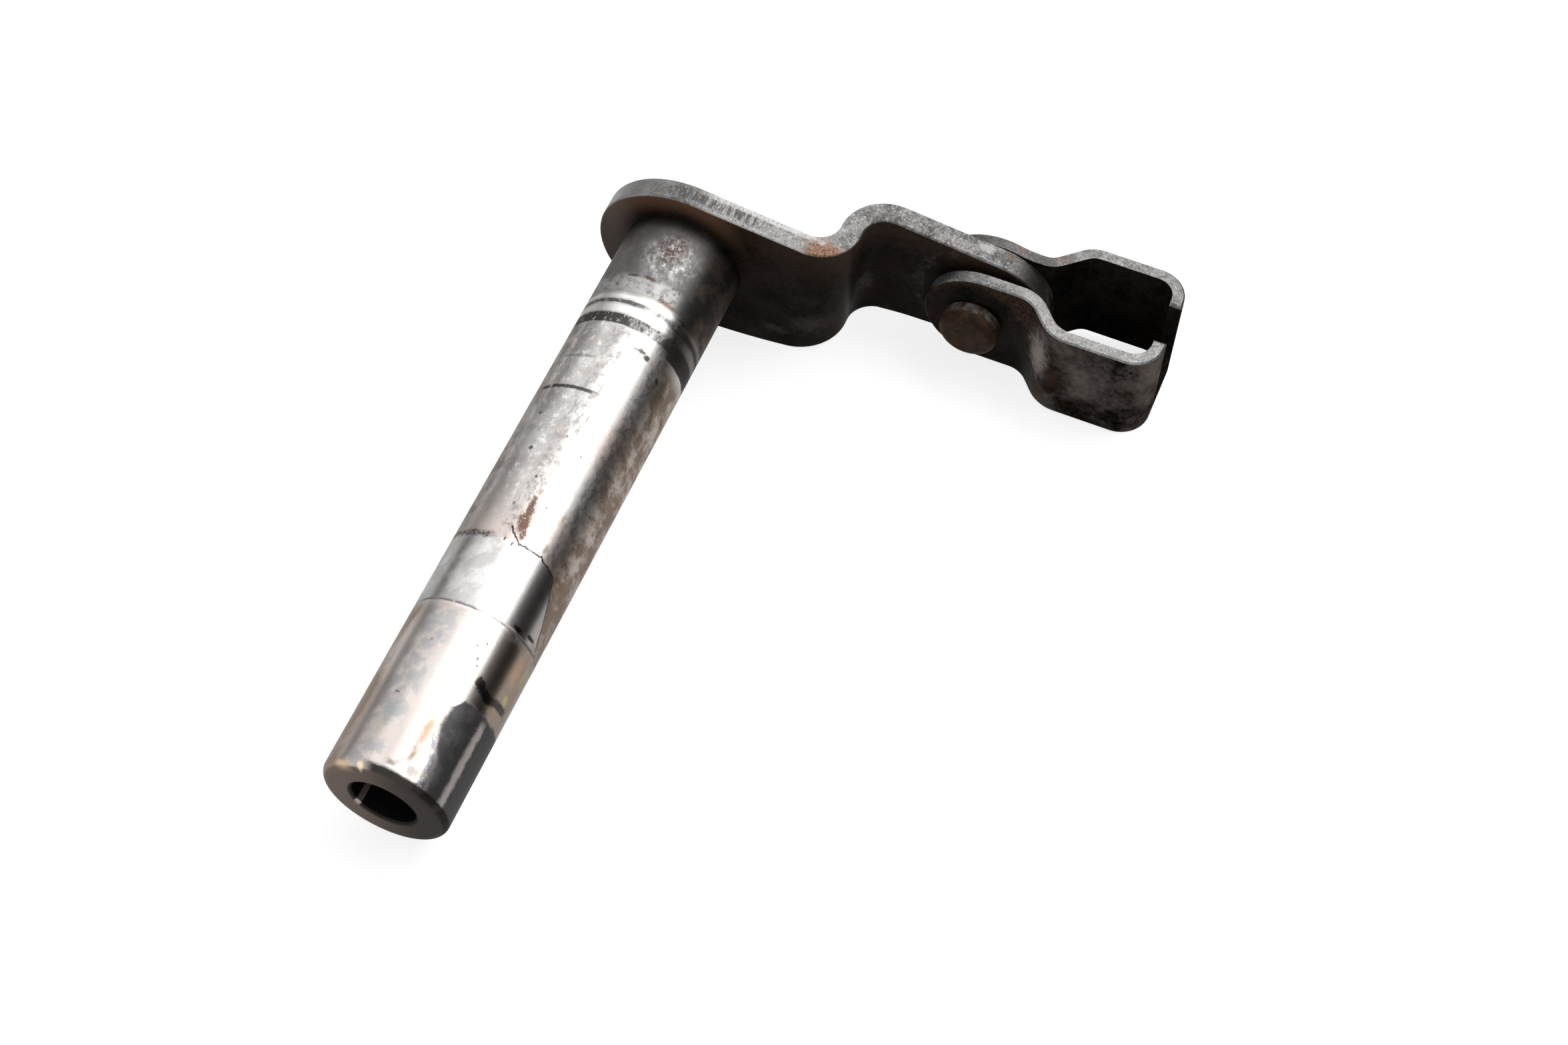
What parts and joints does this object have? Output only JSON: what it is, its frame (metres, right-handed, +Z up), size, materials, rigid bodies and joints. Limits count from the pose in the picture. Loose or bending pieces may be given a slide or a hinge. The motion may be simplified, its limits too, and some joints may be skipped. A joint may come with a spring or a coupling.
{
  "type": "clutch lifter lever",
  "caption": "Clutch lifter lever: round turned shaft with a stepped flat arm on its end and a swinging slotted clevis that a cable pulls.",
  "frame": {"origin": "on the shaft's axis, where the shaft meets the arm's face", "axes": "-Y along the shaft towards its free end, +X along the arm towards the clevis, +Z up as it lies on a bench"},
  "size_m": [0.056, 0.0776, 0.018],
  "materials": {
    "shaft_steel": "ground and polished by wear, with stains and specks of rust",
    "arm_steel": "dark brown-black oxide faces with bare grey edges and some rust",
    "clevis_steel": "dark brown-grey oxide faces with bare grey edges",
    "rivet_steel": "brown tarnished head with a lighter rim"
  },
  "bodies": {
    "lever": {"shaft": "shaft_steel", "lever_arm": "arm_steel"},
    "clevis": {"clevis": "clevis_steel", "clevis_pin": "rivet_steel"}
  },
  "joints": [
    {"name": "clevis_pivot", "type": "hinge", "parent": "lever", "child": "clevis", "pos_m": [0.02826, 0, -0.00227], "axis": [0, 1, 0], "range_deg": [-120, 120]}
  ]
}
